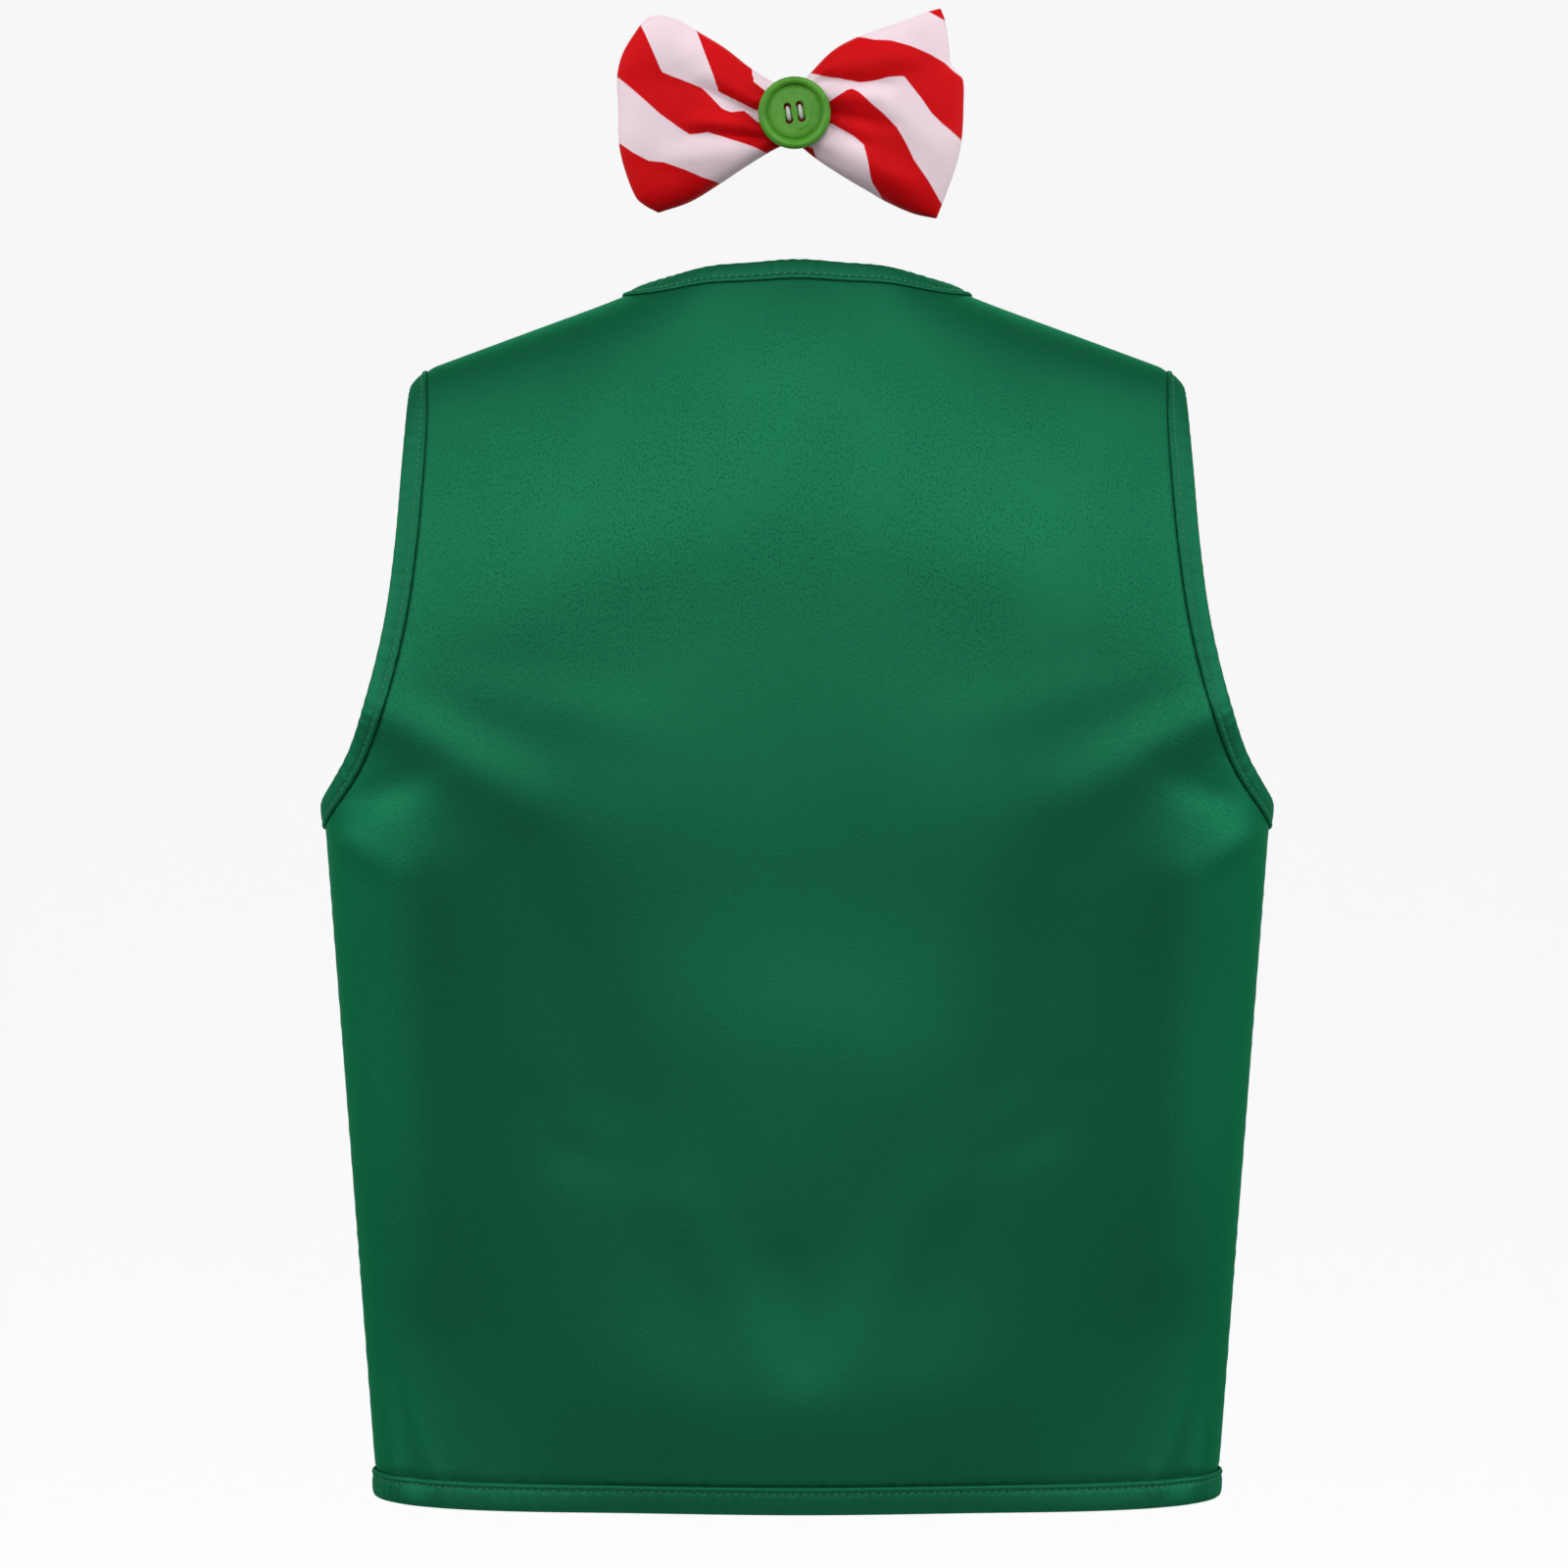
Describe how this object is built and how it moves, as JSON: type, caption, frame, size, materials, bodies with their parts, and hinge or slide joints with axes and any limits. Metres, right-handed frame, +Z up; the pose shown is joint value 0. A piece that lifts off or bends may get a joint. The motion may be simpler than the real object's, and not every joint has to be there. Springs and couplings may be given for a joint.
{
  "type": "elf costume waistcoat and bow tie",
  "caption": "Child's sleeveless green satin waistcoat with bias-bound neck, armholes and hem, filled out and open at the front, with a candy-striped bow tie and green button above it.",
  "frame": {"origin": "middle of the shoulder line, level with the sides of the neck, where the wearer's shoulders hold the waistcoat", "axes": "+Z up, +X to the right of someone who looks at the back, +Y towards the open front; the wearer's back faces -Y"},
  "size_m": [0.3478, 0.1697, 0.5405],
  "materials": {
    "satin": "green polyester satin with a soft sheen and fine crosswise slubs",
    "satin_binding": "the same satin cut on the bias, topstitched",
    "striped_cloth": "red and white candy stripes on soft smooth polyester",
    "button_plastic": "green moulded plastic, semi-matt",
    "thread": "pale grey sewing thread"
  },
  "bodies": {
    "root": {"back_panel": "satin", "front_panel_right": "satin", "front_panel_left": "satin", "neck_binding": "satin_binding", "front_binding_right": "satin_binding", "front_binding_left": "satin_binding", "armhole_binding_back_right": "satin_binding", "armhole_binding_back_left": "satin_binding", "armhole_binding_front_right": "satin_binding", "armhole_binding_front_left": "satin_binding", "hem_binding_back": "satin_binding", "hem_binding_front_right": "satin_binding", "hem_binding_front_left": "satin_binding", "bow": "striped_cloth", "bow_wrap": "striped_cloth", "bow_button": "button_plastic", "button_thread_left": "thread", "button_thread_right": "thread"}
  },
  "joints": []
}
